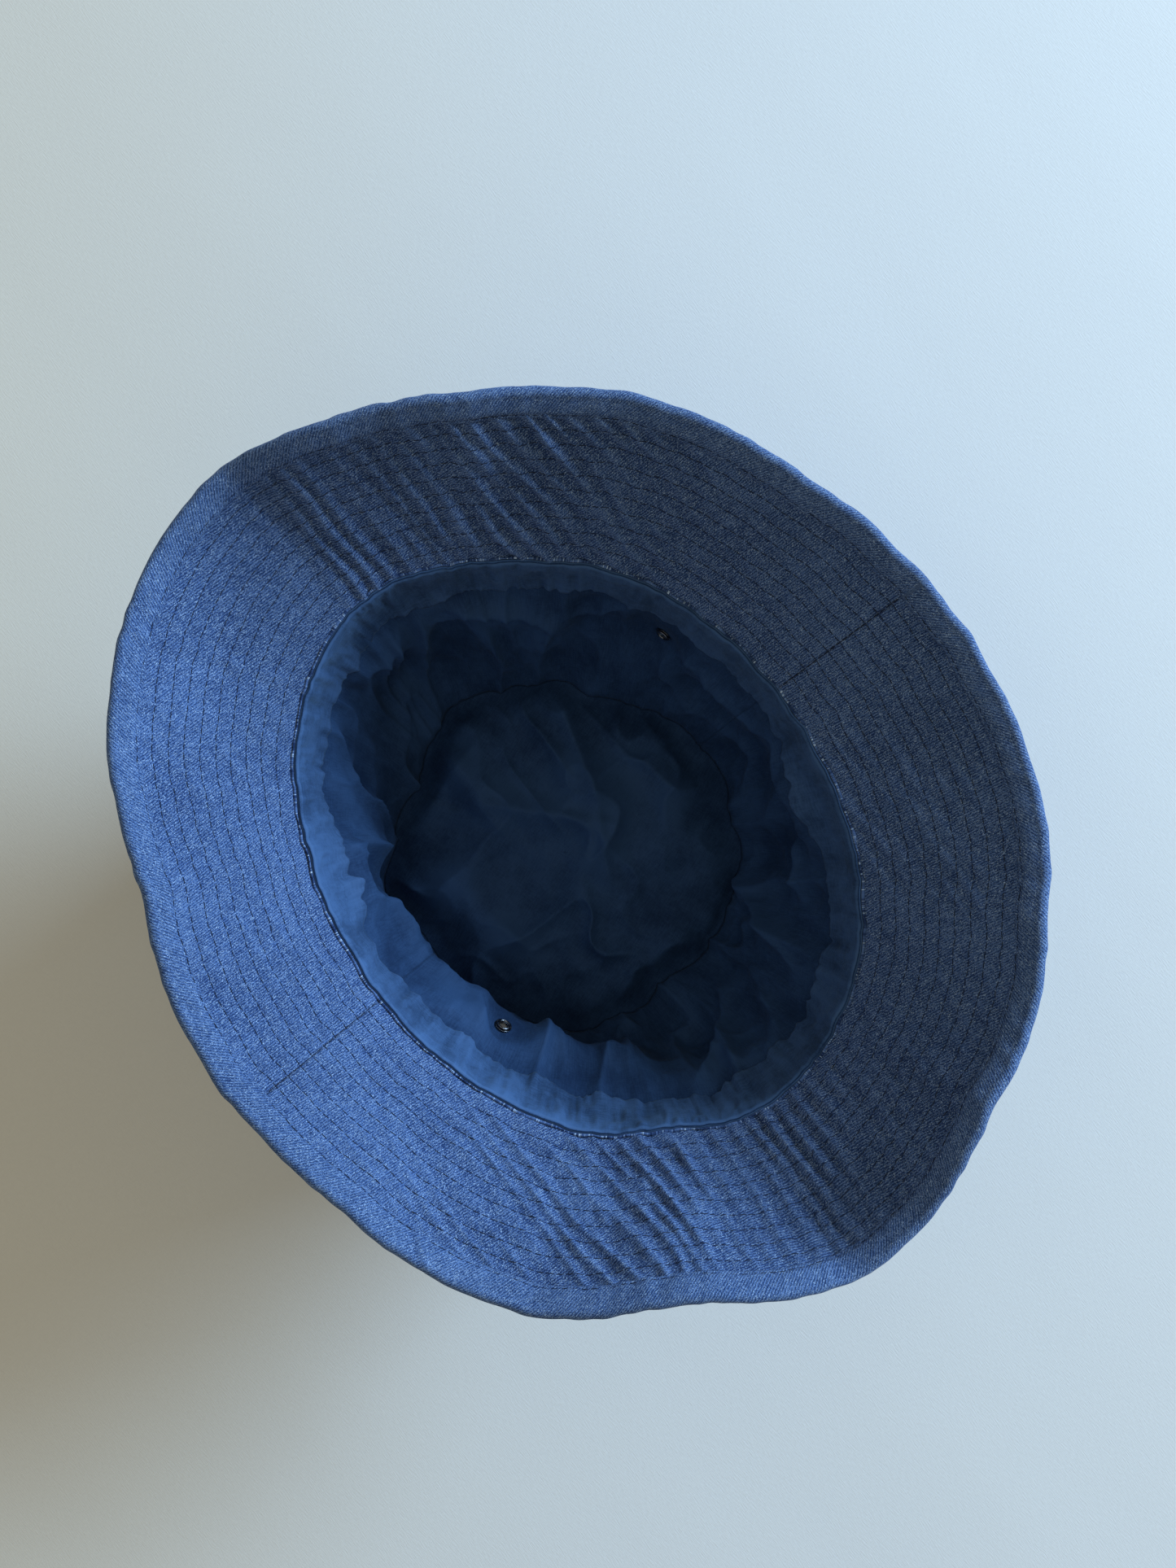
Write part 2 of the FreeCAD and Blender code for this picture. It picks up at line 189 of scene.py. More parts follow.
def relief(u, out, face):
    """Height of the brim's face over its smooth shape. face is 1 for the upward one, -1 for the other."""
    x, y = cloth_place(u, out)
    inner = soft(out, 0, 7)
    strong = 0.22 + bumps(u, [
        (56, 24, 1.25), (-122, 28, 0.75), (-35, 30, 0.3), (-85, 12, 0.5), (108, 12, -0.15),
    ])
    strong = strong * (0.5 + 0.5 * inner) * (1 - 0.75 * soft(out, FIRST_ROW - 3, FIRST_ROW + 3))
    wander = 0.9 * noise(x / 19, y / 19, 11)
    phase = x / 6.1 + 0.55 * noise(x / 15, y / 30, 18) + 0.16 * wander
    ridges = (1.15 - 2.0 * np.abs(np.sin(math.pi * phase))) * (0.55 + 0.45 * noise(x / 9, y / 14, 19))
    ridges += 0.55 * noise(x / 2.8 + wander, y / 17, 13) + 0.34 * noise(x / 1.4 + wander, y / 9, 17)
    height = strong * ridges
    height += 0.12 * noise(x / 2.4, y / 3.8, 14) + 0.5 * noise(x / 23, y / 23, 15) * soft(out, 5, 30)
    beside = np.exp(-((x - CREASE - 10) / 9) ** 2) * (1 - soft(np.abs(apart(u, 90)), 20, 40))
    beside = beside + 0.6 * np.exp(-((x - CREASE - 7) / 9) ** 2) * (1 - soft(np.abs(apart(u, -90)), 20, 40))
    height += 0.8 * beside * np.cos((x - CREASE) / 5.6 * 2 * math.pi + 0.8 * noise(x / 9, y / 14, 16))
    height *= face
    height = np.where(height < -0.3, -0.3 - 0.35 * np.tanh((-0.3 - height) / 0.35), height)
    for row in range(1, ROWS):
        height -= 0.10 * np.exp(-((out - FIRST_ROW + row * PITCH) / 0.5) ** 2)
    height -= 0.15 * np.exp(-(out / 0.6) ** 2)
    seam = from_seam(u) * math.radians(1) * (HALF_LENGTH + out)
    height -= 0.14 * np.exp(-(seam / 0.5) ** 2)
    height += 0.20 * np.exp(-((seam - 2.2) / 1.6) ** 2)
    return height


def brim(u, out, depth, lift=0.0):
    """Points of the brim: out along its slope, depth below the upward face, raised by lift."""
    rise = brim_slope(u) + 0.6 * ring_noise(u, 11, u * 0, 21)
    curl = bumps(u, [(105, 30, 10), (-30, 40, 8), (180, 40, -6)])
    mean = np.radians(rise - curl / 2 + curl * out / BRIM / 2)
    local = np.radians(rise - curl / 2 + curl * out / BRIM)
    x, y = opening(u)
    across, along = outward(u)
    run = out * np.cos(mean) * (1 - bumps(u, [(86, 12, 0.06)]))
    edge = soft(out, BRIM - 22, BRIM)
    sunk = fold(x + across * run, u, 0.5 + 3.0 * edge) * (0.4 + 8.4 * soft(out, 0, BRIM * 0.8) - 1.6 * edge)
    over = lift - depth - sunk
    reach = GAP + run - over * np.sin(local)
    up = OPENING + out * np.sin(mean) + over * np.cos(local)
    return np.stack([x + across * reach, y + along * reach, up], -1)


def ridge(u, z, start, end, width, height, crisp=False):
    """A fold on the wall between two places (angle, height)."""
    degree = 1.45
    return line_fold(apart(u, start[0]) * degree, z, 0.0, start[1],
                     apart(end[0], start[0]) * degree, end[1], width, height, crisp)


def line_fold(x, y, x0, y0, x1, y1, width, height, crisp=False):
    """A fold along the line from (x0, y0) to (x1, y1), lower at its ends."""
    length = (x1 - x0) ** 2 + (y1 - y0) ** 2
    t = np.clip(((x - x0) * (x1 - x0) + (y - y0) * (y1 - y0)) / length, 0, 1)
    far = np.hypot(x - x0 - t * (x1 - x0), y - y0 - t * (y1 - y0)) / width
    shape = np.exp(-(np.sqrt(far**2 + 0.03) - 0.17)) if crisp else np.exp(-far**2)
    return height * shape * (0.35 + 0.65 * np.sin(math.pi * (0.12 + 0.76 * t)))


def wall_bulge(u, z):
    """How far the crown wall leans in from its plain shape, in millimetres."""
    high = soft(z, OPENING, OPENING - 30)
    foot = soft(z, 0, 14)
    lean = 11.0 * np.exp(-((z - 36) / 15) ** 2) * bumps(u, [(-160, 24, 1), (-128, 18, 0.8)])
    lean += 6.5 * np.exp(-((z - 30) / 18) ** 2) * bumps(u, [(72, 15, 1), (147, 14, 1.0), (-62, 16, 1.0)])
    lean += 7.0 * np.exp(-((z - 58) / 9) ** 2) * bumps(u, [(156, 8, 1), (-22, 9, 1.2)])
    lean -= 5.0 * np.exp(-((z - 22) / 16) ** 2) * bumps(u, [(104, 9, 1), (-96, 9, 1), (15, 25, 0.6)])
    lean += 1.8 * ring_noise(u, 16, z / 24, 31)
    slump = (4.5 * ring_noise(u, 30, z * 0, 35) + 2.4 * ring_noise(u, 13, z * 0, 36)) * (1 - soft(z, 4, 50))
    return lean * high * (0.3 + 0.7 * foot) + slump


def creased(first, second):
    """Sharp-topped folds, like paper opened out again, from two random fields."""
    return (1 - np.abs(first)) ** 3 * 1.4 + (1 - np.abs(second)) ** 3 * 0.5


# Each fold's two ends (angle, height), its width, how far it stands in, and whether it is sharp.
LINING_RIDGES = [
    ((92, 92), (103, 6), 3.2, 5.0, True),
    ((98, 90), (106, 18), 2.6, 4.6, True),
    ((106, 84), (111, 24), 3.4, 4.4, True),
    ((116, 74), (122, 30), 5.0, 3.4),
    ((84, 63), (50, 44), 4.0, 7.0, True),
    ((87, 60), (95, 6), 3.6, 5.6, True),
    ((50, 46), (58, 4), 5.0, 4.6, True),
    ((126, 62), (150, 36), 8.0, 5.0),
    ((150, 54), (176, 32), 5.0, 5.0, True),
    ((-172, 56), (-140, 42), 7.0, 4.4),
    ((-97, 86), (-88, 18), 3.4, 5.0, True),
    ((-106, 60), (-80, 20), 4.0, 6.0, True),
    ((-86, 78), (-70, 30), 4.0, 4.2, True),
    ((-62, 50), (-44, 6), 3.6, 7.0, True),
    ((-44, 44), (-18, 40), 3.6, 6.0, True),
    ((4, 50), (26, 14), 6.0, 3.6, True),
]


def lining_folds(u, z):
    """Folds of the loose lining, standing in from the wall."""
    height = sum(ridge(u, z, *one) for one in LINING_RIDGES)
    drift = 0.4 * ring_noise(u, 9, z / 20, 37)
    height += 3.0 * creased(ring_noise(u, 13, z / 30 + drift, 32), ring_noise(u, 6, z / 17, 33))
    height += 0.5 * (1 + ring_noise(u, 2.1, z / 8, 38))
    return height * (0.04 + 0.96 * soft(z, OPENING - 14, OPENING - 38)) * soft(z, -3, 6)


def wall(u, z, depth, lift=0.0):
    """Points of the crown wall at height z, depth in from its outer face."""
    share = 1 - np.clip(1 - z / OPENING, 0, 1) ** 2.6
    a = np.radians(u)
    across, along = outward(u)
    middle_x, middle_y = -10.0 * (1 - share), -2.0 * (1 - share)
    x = middle_x + (TIP_WIDTH + (HALF_WIDTH - TIP_WIDTH) * share) * np.cos(a)
    y = middle_y + (TIP_LENGTH + (HALF_LENGTH - TIP_LENGTH) * share) * np.sin(a)
    out = opening_offset(u) * share - wall_bulge(u, z) - depth - lift
    top = 0.9 * soft(z, OPENING - 40, OPENING) + 2.2 * np.sin(math.pi * np.clip(share, 0, 1)) ** 2
    out = out + fold(x, u) * top
    out = out - 0.8 * np.exp(-z / 3.5)
    return np.stack([x + across * out, y + along * out, z + 0 * u], -1)


def make(name, points, faces, material, cloth=None, wear_and_shade=None, stands_for=()):
    """A piece of the model. cloth and the wear-and-shade value are read by its material at each point; that
    value lightens raised cloth as rubbed wear and darkens hollows as painted shade.
    """
    mesh = bpy.data.meshes.new(name)
    mesh.from_pydata((points / 1000).tolist(), [], faces)
    mesh.validate()
    mesh.polygons.foreach_set("use_smooth", [True] * len(mesh.polygons))
    if cloth is not None:
        layer = mesh.attributes.new("cloth", "FLOAT_VECTOR", "POINT")
        layer.data.foreach_set("vector", np.ascontiguousarray(cloth, dtype=np.float32).ravel())
    if wear_and_shade is not None:
        layer = mesh.attributes.new("wear_and_shade", "FLOAT", "POINT")
        layer.data.foreach_set("value", np.ascontiguousarray(wear_and_shade, dtype=np.float32).ravel())
    mesh.update()
    piece = bpy.data.objects.new(name, mesh)
    bpy.context.scene.collection.objects.link(piece)
    mesh.materials.append(material)
    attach(piece, "root")
    if stands_for:
        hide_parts(*stands_for)
    return piece


def shell(name, front, back, material, stands_for, cloth, wear_and_shade, wrap=False, holes=()):
    """Closed cloth between two grids of points. holes are (middle, radius) left open right through."""
    rows, columns = front.shape[:2]
    index = np.arange(rows * columns).reshape(rows, columns)
    if wrap:
        index = np.concatenate([index, index[:, :1]], 1)
    quads = np.stack([index[:-1, :-1], index[:-1, 1:], index[1:, 1:], index[1:, :-1]], -1).reshape(-1, 4)
    flat = front.reshape(-1, 3)
    for middle, radius in holes:
        quads = quads[np.linalg.norm(flat[quads].mean(1) - middle, axis=1) > radius]
    edges = np.concatenate([quads[:, [k, (k + 1) % 4]] for k in range(4)])
    both = {}
    for start, end in edges.tolist():
        if (end, start) in both:
            del both[(end, start)]
        else:
            both[(start, end)] = True
    count = rows * columns
    rim = [[end, start, start + count, end + count] for start, end in both]
    faces = quads.tolist() + (quads[:, ::-1] + count).tolist() + rim
    points = np.concatenate([flat, back.reshape(-1, 3)])
    used = np.unique(np.array(faces))
    order = np.full(len(points), -1)
    order[used] = np.arange(len(used))
    faces = order[np.array(faces)].tolist()
    cloth = np.concatenate([cloth.reshape(-1, 3)] * 2)[used]
    wear_and_shade = np.concatenate([np.broadcast_to(wear_and_shade, (rows, columns)).ravel()] * 2)[used]
    return make(name, points[used], faces, material, cloth, wear_and_shade, stands_for)


def flat_cloth(x, y, turn=0.0):
    """Cloth coordinates in millimetres, with the weave turned by an angle in degrees."""
    a = math.radians(turn)
    return np.stack([x * math.cos(a) + y * math.sin(a), y * math.cos(a) - x * math.sin(a), 0 * x], -1)


def stitches(line, total, length, skip=0.2, thick=THREAD, rise=0.05):
    """Short threads along a line. line takes distances along it and a lift, and gives points."""
    count = max(int(total / length), 1)
    starts = np.arange(count) * total / count
    stops, sides = 5, 6
    steps = np.linspace(skip / 2, 1 - skip / 2, stops)
    along = starts[:, None] + steps[None, :] * total / count
    lift = rise - 0.34 * (2 * steps - 1) ** 4
    lift = np.broadcast_to(lift, along.shape)
    middle = line(along, lift)
    up = line(along, lift + 0.5) - middle
    up /= np.linalg.norm(up, axis=-1, keepdims=True)
    ahead = np.gradient(middle, axis=1)
    ahead /= np.linalg.norm(ahead, axis=-1, keepdims=True)
    side = np.cross(ahead, up)
    side /= np.linalg.norm(side, axis=-1, keepdims=True)
    turn = np.arange(sides) * 2 * math.pi / sides
    slim = thick * (0.75 + 0.25 * (1 - (2 * steps - 1) ** 2))[None, :, None, None]
    turned_by = turn[None, None, :, None]
    ring = np.cos(turned_by) * side[:, :, None] + np.sin(turned_by) * up[:, :, None]
    points = (middle[:, :, None] + slim * ring).reshape(-1, 3)
    index = np.arange(count * stops * sides).reshape(count, stops, sides)
    near, far = index[:, :-1], index[:, 1:]
    quads = np.stack([near, np.roll(near, -1, 2), np.roll(far, -1, 2), far], -1).reshape(-1, 4)
    faces = quads.tolist() + index[:, 0, ::-1].tolist() + index[:, -1].tolist()
    cloth = np.stack([np.repeat(along, sides), np.tile(turn, count * stops), 0 * np.repeat(along, sides)], -1)
    return points, faces, cloth


def stitch_rows(name, runs, material, stands_for, **options):
    """One piece made of several runs of stitches, each (line, total length, stitch length)."""
    points, faces, cloth, base = [], [], [], 0
    for line, total, length in runs:
        p, f, c = stitches(line, total, length, **options)
        points.append(p)
        cloth.append(c)
        faces += [[v + base for v in face] for face in f]
        base += len(p)
    return make(name, np.concatenate(points), faces, material, np.concatenate(cloth),
                None, stands_for)


# ---------------------------------------------------------------- materials


class Look:
    """A material's node tree, with short ways to add to it."""

    def __init__(self, name):
        self.material = bpy.data.materials.new(name)
        self.material.use_nodes = True
        self.tree = self.material.node_tree
        self.shader = self.tree.nodes["Principled BSDF"]

    def put(self, value, socket):
        if isinstance(value, bpy.types.NodeSocket):
            self.tree.links.new(value, socket)
        else:
            socket.default_value = value

    def node(self, kind, **settings):
        made = self.tree.nodes.new(kind)
        for key, value in settings.items():
            setattr(made, key, value)
        return made

    def maths(self, operation, first, second=0.0, third=0.0):
        made = self.node("ShaderNodeMath", operation=operation)
        for socket, value in zip(made.inputs, (first, second, third)):
            self.put(value, socket)
        return made.outputs[0]

    def attribute(self, name, output):
        return self.node("ShaderNodeAttribute", attribute_name=name).outputs[output]

    def stretch(self, vector, scale, turn=0.0):
        made = self.node("ShaderNodeMapping")
        self.put(vector, made.inputs["Vector"])
        made.inputs["Scale"].default_value = scale
        made.inputs["Rotation"].default_value = (0, 0, math.radians(turn))
        return made.outputs[0]

    def noise(self, vector, scale, detail=2.0, rough=0.5):
        made = self.node("ShaderNodeTexNoise")
        self.put(vector, made.inputs["Vector"])
        made.inputs["Scale"].default_value = scale
        made.inputs["Detail"].default_value = detail
        made.inputs["Roughness"].default_value = rough
        return made.outputs[0]

    def cells(self, vector, spread=1.0):
        """(random number of each cell, distance from its middle)"""
        made = self.node("ShaderNodeTexVoronoi")
        self.put(vector, made.inputs["Vector"])
        made.inputs["Randomness"].default_value = spread
        split = self.node("ShaderNodeSeparateColor")
        self.put(made.outputs["Color"], split.inputs[0])
        return split.outputs[0], made.outputs["Distance"]

    def between(self, value, low, high, to_low=0.0, to_high=1.0):
        made = self.node("ShaderNodeMapRange", interpolation_type="SMOOTHSTEP")
        for socket, number in zip(made.inputs, (value, low, high, to_low, to_high)):
            self.put(number, socket)
        return made.outputs[0]

    def mix(self, share, first, second, blend="MIX"):
        made = self.node("ShaderNodeMix", data_type="RGBA", blend_type=blend)
        self.put(share, made.inputs[0])
        self.put(first, made.inputs[6])
        self.put(second, made.inputs[7])
        return made.outputs[2]

    def bump(self, height, strength, distance):
        made = self.node("ShaderNodeBump")
        made.inputs["Strength"].default_value = strength
        made.inputs["Distance"].default_value = distance
        self.put(height, made.inputs["Height"])
        self.put(made.outputs[0], self.shader.inputs["Normal"])

    def finish(self, colour, rough, sheen=0.0, tint=(1, 1, 1, 1)):
        self.put(colour, self.shader.inputs["Base Color"])
        self.put(rough, self.shader.inputs["Roughness"])
        self.shader.inputs["Specular IOR Level"].default_value = 0.25
        self.shader.inputs["Sheen Weight"].default_value = sheen
        self.shader.inputs["Sheen Roughness"].default_value = 0.45
        self.shader.inputs["Sheen Tint"].default_value = tint
        return self.material


FLECK = (0.50, 0.66, 0.86, 1)
TWILL = 0.80
WAVE = 0.314  # a wave texture of scale 1 repeats after this length


def denim(name, dark, mid, fleck_from, diagonal=0.0):
    """Indigo warp with pale slubby weft: short dashes along the weft, flecks and a mottled dye."""
    look = Look(name)
    place = look.attribute("cloth", "Vector")
    wear_and_shade = look.attribute("wear_and_shade", "Fac")
    sway = look.noise(place, 0.12, 2.0)
    turned = look.stretch(place, (1, 1, 1), diagonal)
    dash, dash_far = look.cells(look.stretch(turned, (0.62, 1.30, 1)), 0.85)
    fine, fine_far = look.cells(look.stretch(turned, (1.6, 2.5, 1)), 0.7)
    slub, _ = look.cells(look.stretch(turned, (0.50, 1.70, 1)), 1.0)
    mottle = look.noise(look.stretch(turned, (0.13, 0.22, 1)), 1.0, 3.0, 0.6)
    cloud = look.noise(place, 0.035, 2.0)
    wale = look.node("ShaderNodeTexWave", bands_direction="Y")
    look.put(look.stretch(turned, (1, 1, 1), 4.0), wale.inputs["Vector"])
    wale.inputs["Scale"].default_value = WAVE / TWILL
    wale.inputs["Distortion"].default_value = 1.1
    wale.inputs["Detail"].default_value = 2.0
    wale.inputs["Detail Scale"].default_value = 0.5
    twill = wale.outputs["Fac"]
    tone = look.maths("MULTIPLY_ADD", dash, 0.62, look.maths("MULTIPLY", fine, 0.40))
    tone = look.maths("MULTIPLY_ADD", look.maths("SUBTRACT", twill, 0.5), 0.50, tone)
    tone = look.maths("MULTIPLY_ADD", look.maths("SUBTRACT", mottle, 0.5), 0.40, tone)
    tone = look.maths("MULTIPLY_ADD", look.maths("SUBTRACT", cloud, 0.5), 0.25, tone)
    # Rubbed wear and painted shade: the wear-and-shade value lightens raised cloth as wear and darkens
    # hollows as painted shade.
    tone = look.maths("MULTIPLY_ADD", look.maths("SUBTRACT", wear_and_shade, 0.5), 0.40, tone)
    colour = look.mix(look.between(tone, 0.22, 0.84), dark, mid)
    threshold = look.maths("MULTIPLY_ADD", look.maths("SUBTRACT", 0.5, mottle), 0.30, fleck_from)
    spark = look.between(look.maths("SUBTRACT", dash, threshold), 0.0, 0.12)
    spark = look.maths("MULTIPLY", spark, look.between(dash_far, 0.45, 0.20))
    streak = look.between(slub, 0.94, 0.98)
    streak = look.maths("MULTIPLY", streak, look.between(fine, 0.25, 0.6))
    share = look.maths("MAXIMUM", look.maths("MULTIPLY", spark, 0.85), look.maths("MULTIPLY", streak, 0.95))
    colour = look.mix(share, colour, FLECK)
    height = look.maths("MULTIPLY_ADD", twill, 0.7, look.maths("MULTIPLY", dash, 0.5))
    height = look.maths("MULTIPLY_ADD", fine_far, -0.5, height)
    height = look.maths("MULTIPLY_ADD", sway, 0.6, height)
    look.bump(height, 0.6, 0.00022)
    return look.finish(colour, look.between(tone, 0.0, 1.0, 0.86, 0.72), 0.10, (0.62, 0.74, 0.95, 1))


def plain_weave(name, dark, mid, pitch, sheen, streaks=0.35):
    """Fine crossed threads with uneven thickness and a cloudy dye."""
    look = Look(name)
    place = look.attribute("cloth", "Vector")
    wear_and_shade = look.attribute("wear_and_shade", "Fac")
    across = look.noise(look.stretch(place, (0.16 / pitch, 1.0 / pitch, 1)), 1.0, 2.0)
    along = look.noise(look.stretch(place, (1.0 / pitch, 0.16 / pitch, 1)), 1.0, 2.0)
    cloud = look.noise(place, 0.05, 3.0, 0.6)
    grain, far = look.cells(look.stretch(place, (1.1 / pitch, 1.3 / pitch, 1)), 0.6)
    tone = look.maths("MULTIPLY_ADD", across, streaks * 1.4, look.maths("MULTIPLY", along, streaks))
    tone = look.maths("MULTIPLY_ADD", grain, 0.25, tone)
    tone = look.maths("MULTIPLY_ADD", look.maths("SUBTRACT", cloud, 0.5), 1.1, tone)
    # Rubbed wear and painted shade: the wear-and-shade value lightens raised cloth as wear and darkens
    # hollows as painted shade.
    tone = look.maths("MULTIPLY_ADD", look.maths("SUBTRACT", wear_and_shade, 0.5), 0.6, tone)
    colour = look.mix(look.between(tone, 0.15, 0.95), dark, mid)
    height = look.maths("MULTIPLY_ADD", far, -0.7, look.maths("ADD", across, along))
    look.bump(height, 0.45, 0.00016)
    return look.finish(colour, look.between(tone, 0.0, 1.0, 0.88, 0.74), sheen, (0.45, 0.70, 0.85, 1))


def thread_look():
    look = Look("sewing_thread")
    place = look.attribute("cloth", "Vector")
    twist = look.node("ShaderNodeTexWave", bands_direction="DIAGONAL")
    look.put(look.stretch(place, (2.4, 0.5, 1)), twist.inputs["Vector"])
    twist.inputs["Scale"].default_value = 1.0
    shade = look.noise(place, 0.4, 1.0)
    share = look.maths("MULTIPLY", twist.outputs["Fac"], shade)
    colour = look.mix(share, (0.004, 0.010, 0.030, 1), (0.016, 0.034, 0.085, 1))
    look.bump(twist.outputs["Fac"], 0.6, 0.00008)
    return look.finish(colour, look.between(shade, 0.2, 0.8, 0.5, 0.65), 0.05)


def metal_look():
    look = Look("nickel")
    coordinates = look.node("ShaderNodeTexCoord").outputs["Object"]
    tarnish = look.noise(coordinates, 900.0, 3.0, 0.6)
    scratch = look.noise(look.stretch(coordinates, (400, 4000, 400)), 1.0, 2.0)
    colour = look.mix(look.between(tarnish, 0.35, 0.75), (0.13, 0.14, 0.16, 1), (0.32, 0.33, 0.35, 1))
    look.bump(scratch, 0.12, 0.00003)
    look.shader.inputs["Metallic"].default_value = 1.0
    return look.finish(colour, look.between(tarnish, 0.3, 0.8, 0.22, 0.42))


def felt_look():
    look = Look("stiffener")
    place = look.attribute("cloth", "Vector")
    fibre = look.noise(look.stretch(place, (0.8, 2.4, 1)), 1.0, 4.0, 0.7)
    colour = look.mix(fibre, (0.05, 0.07, 0.12, 1), (0.10, 0.13, 0.20, 1))
    look.bump(fibre, 0.5, 0.0002)
    return look.finish(colour, look.between(fibre, 0.2, 0.8, 0.95, 0.85))


UNDER = denim("under_brim_denim", (0.006, 0.024, 0.094, 1), (0.074, 0.146, 0.335, 1), 0.60)
OUTER = denim("outer_denim", (0.007, 0.026, 0.098, 1), (0.076, 0.148, 0.338, 1), 0.61)
BIAS = denim("binding_denim", (0.009, 0.030, 0.104, 1), (0.082, 0.158, 0.350, 1), 0.61, 45.0)
LINING = plain_weave("lining_weave", (0.006, 0.025, 0.076, 1), (0.028, 0.076, 0.186, 1), 0.55, 0.05)
BAND = plain_weave("sweatband_weave", (0.012, 0.038, 0.100, 1), (0.048, 0.110, 0.245, 1), 0.75, 0.10, 0.45)
SEWING = thread_look()
NICKEL = metal_look()
FELT = felt_look()

# ---------------------------------------------------------------- brim

HALVES = (("front", 0, 180), ("back", 180, 360))
ROOT = -1.5
ACROSS = np.concatenate([np.arange(ROOT, CUT, 0.5), [CUT]])


def brim_ply(kind, half, start, end, top, bottom, face, material, step, rows):
    """Half a ply of the brim. face is 1 if its top is seen, -1 if its bottom is, 0 if neither."""
    columns = round_the_oval(start, end, step)
    u, out = np.meshgrid(columns, rows)
    surface = relief(u, out, 1 if face >= 0 else -1)
    gentle = 0.8 * relief(u, out, 1)
    upper = brim(u, out, top, surface if face > 0 else 0.35 * gentle * (face == 0))
    lower = brim(u, out, bottom, -surface if face < 0 else 0.35 * gentle * (face == 0))
    x, y = cloth_place(u, out)
    # Seen faces: raised puckers lighter as rubbed wear, stitch grooves and hollows darker as painted shade;
    # the hidden stiffener gets an even value.
    wear_and_shade = np.clip(0.5 + surface * 0.55 if face else 0.5 + 0 * surface, 0, 1)
    front, back = (upper, lower) if face >= 0 else (lower[:, ::-1], upper[:, ::-1])
    if face < 0:
        x, y, wear_and_shade = x[:, ::-1], y[:, ::-1], wear_and_shade[:, ::-1]
    turn = 2.0 if half == "front" else -3.0
    return shell(f"{kind}_{half}", front, back, material, [f"brim_{kind.split('_')[0]}_{half}"],
                 flat_cloth(x, y, turn), wear_and_shade)


sheets = []  # each (piece, how it is held, the piece it rests on)
INNER = DENIM + GAP
for half, start, end in HALVES:
    stiff = brim_ply("interlining_sheet", half, start, end, INNER, INNER + STIFFENER, 0, FELT,
                     1.2, np.linspace(4.0, CUT - 0.3, 48))
    under = brim_ply("under_panel", half, start, end, 0.0, DENIM, 1, UNDER, 0.75, ACROSS)
    upper = brim_ply("upper_panel", half, start, end, INNER + STIFFENER + GAP, PLIES, -1, OUTER,
                     1.0, np.linspace(0, CUT, 90))
    sheets += [(stiff, "laid", upper), (under, "laid", stiff), (upper, "stretched", None)]


def binding_section():
    """The bound edge's outer face as (out, depth) points, from the top's sewn edge round to the bottom's."""
    inner = BRIM - BINDING_WIDTH
    half = PLIES / 2 + GAP + BINDING
    top = []
    for t in np.linspace(0, 1, 18):
        swell = 0.30 * math.sin(math.pi * min(t * 1.1, 1))
        top.append((inner + t * (BINDING_WIDTH - half), -(GAP + BINDING) - swell + 0.75 * math.exp(-t * 16)))
    end = []
    for t in np.linspace(0, math.pi, 17)[1:-1]:
        end.append((BRIM - half + half * math.sin(t), PLIES / 2 - half * math.cos(t)))
    bottom = [(out, PLIES - depth) for out, depth in reversed(top)]
    return np.array(top + end + bottom)


def bind_edge():
    """The binding: a bias strip folded over the brim's edge, joined at a slant."""
    outer = binding_section()
    run = np.gradient(outer, axis=0)
    run /= np.linalg.norm(run, axis=1, keepdims=True)
    inner = outer + BINDING * 0.9 * np.stack([-run[:, 1], run[:, 0]], -1)
    columns = round_the_oval(0, 360, 0.9)[:-1]
    way = distances(outer)
    grids = []
    for section in (outer, inner):
        u = np.broadcast_to(columns, (len(section), len(columns)))
        out = np.broadcast_to(section[:, :1], u.shape)
        depth = np.broadcast_to(section[:, 1:], u.shape)
        arc = u * math.radians(1) * (HALF_LENGTH + BRIM * 0.7)
        drag = arc + 0.6 * way[:, None]
        lift = 0.16 * noise(drag / 3.2, way[:, None] / 5 + 0 * u, 41)
        lift = lift + 0.09 * noise(drag / 1.3, way[:, None] / 3 + 0 * u, 42)
        top = depth < PLIES / 2
        lift = lift - 0.40 * np.exp(-((out - FIRST_ROW) / 0.5) ** 2)
        join = (apart(u, -151) * math.radians(1) * 140 - (way[:, None] - 10)) / 1.4
        lift = lift - 0.45 * np.exp(-(join / 0.8) ** 2) + 0.25 * np.exp(-((join - 2.2) / 1.6) ** 2)
        sign = np.where(top, 1.0, -1.0) * np.clip(np.abs(depth - PLIES / 2) / 1.2, 0, 1)
        grids.append(brim(u, out, depth, lift * sign))
        if section is outer:
            marks = lift
            cloth = flat_cloth(arc, way[:, None] + 0 * arc, 0)
    # Puckers lighter as rubbed wear; the sunk stitch row and slanted join darker as painted shade.
    return shell("binding_strip", grids[0], grids[1], BIAS, ["brim_binding"], cloth,
                 np.clip(0.62 + marks * 0.7, 0, 1), wrap=True)


bound = bind_edge()

# ---------------------------------------------------------------- crown, lining and sweatband

LINING_DEPTH = DENIM + 0.5
VENTS = (("front_right", 24), ("front_left", 156), ("back_left", 204), ("back_right", 336))
VENT_UP = 43.0
VENT_HOLE = 2.0
TIP_ROW = 4.2


def wall_frame(u, z, depth):
    """(place, outward direction) of the wall at one point."""
    def at(across, high):
        return wall(np.array(float(u + across)), np.array(z + high), depth)

    near = 0.3
    normal = np.cross(at(near, 0.0) - at(-near, 0.0), at(0.0, near) - at(0.0, -near))
    return at(0.0, 0.0), normal / np.linalg.norm(normal)


def calm(u, z):
    """0 beside a vent, 1 away from it: the cloth lies plain where an eyelet grips it."""
    share = 1.0
    for _, at in VENTS:
        far = np.hypot(apart(u, at) * WALL_DEGREE, z - VENT_UP)
        share = share * soft(far, 4, 15)
    return share


